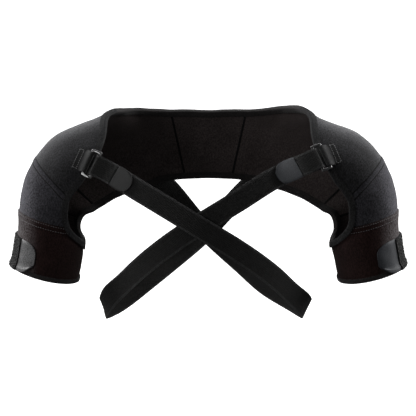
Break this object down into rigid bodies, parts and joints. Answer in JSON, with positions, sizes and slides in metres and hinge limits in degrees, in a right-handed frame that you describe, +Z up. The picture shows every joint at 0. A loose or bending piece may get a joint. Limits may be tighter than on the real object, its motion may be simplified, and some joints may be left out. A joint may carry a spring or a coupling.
{
  "type": "shoulder brace",
  "caption": "Double shoulder brace of soft neoprene with sleeve ends, a back panel and straps that cross on the chest and pass round the ribs.",
  "frame": {"origin": "the mid-plane between the tops of the shoulders, where the wearer's shoulders hold the brace up", "axes": "+Z up, the chest side faces -Y, +X to the right as seen from the chest side"},
  "size_m": [0.4804, 0.2097, 0.2559],
  "materials": {
    "knit": "matt heather knit over neoprene",
    "binding": "matt folded tape with a stitch line",
    "loop": "fuzzy loop pile",
    "hook": "smooth back of a hook tape",
    "elastic": "woven elastic with ribbed edges",
    "ring": "polished"
  },
  "bodies": {
    "root": {"back_panel": "knit", "left_shoulder_panel": "knit", "right_shoulder_panel": "knit", "left_deltoid_panel": "knit", "right_deltoid_panel": "knit", "left_cuff": "knit", "right_cuff": "knit", "neck_binding": "binding", "lower_binding": "binding", "left_cuff_binding": "binding", "right_cuff_binding": "binding", "left_cuff_band": "loop", "right_cuff_band": "loop", "left_cuff_tab": "hook", "right_cuff_tab": "hook", "left_strap": "elastic", "right_strap": "elastic", "left_strap_tab": "hook", "right_strap_tab": "hook", "left_ring": "ring", "right_ring": "ring", "left_ring_stub": "elastic", "right_ring_stub": "elastic"}
  },
  "joints": []
}
